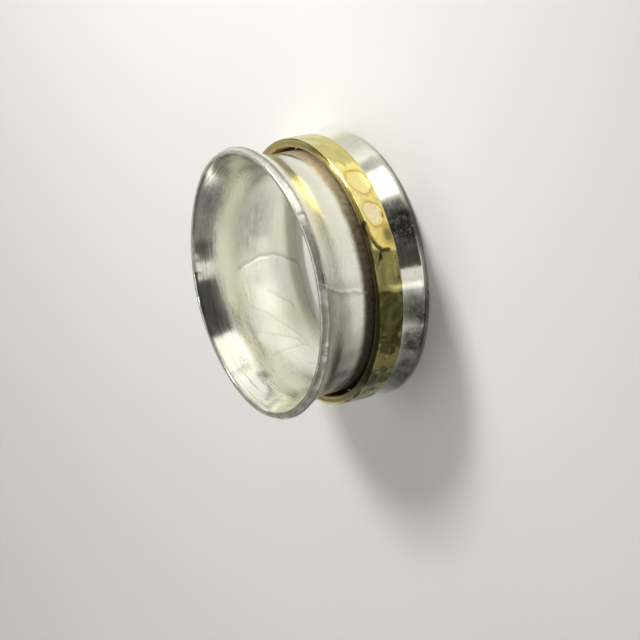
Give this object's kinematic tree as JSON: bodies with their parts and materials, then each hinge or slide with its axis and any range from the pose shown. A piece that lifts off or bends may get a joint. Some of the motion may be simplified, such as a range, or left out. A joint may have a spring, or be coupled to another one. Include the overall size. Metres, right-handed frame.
{
  "type": "spinner ring",
  "caption": "Finger ring with a flared sheet band and a loose hammered outer band that spins round it.",
  "frame": {"origin": "centre of the lower rim's resting circle, on the surface that the ring lies on", "axes": "+Z is the ring's axis, from the lower, slightly smaller rim up to the wider rim; X and Y are any two directions across the ring"},
  "size_m": [0.022, 0.022, 0.0099],
  "materials": {
    "silver": "polished sterling silver, fine circumferential polishing lines",
    "brass": "hammered and polished brass"
  },
  "bodies": {
    "band": {"band": "silver"},
    "spinner": {"spinner": "brass"}
  },
  "joints": [
    {"name": "spinner_spin", "type": "hinge", "parent": "band", "child": "spinner", "pos_m": [0, 0, 0.0036], "axis": [0, 0, 1], "continuous": true}
  ]
}
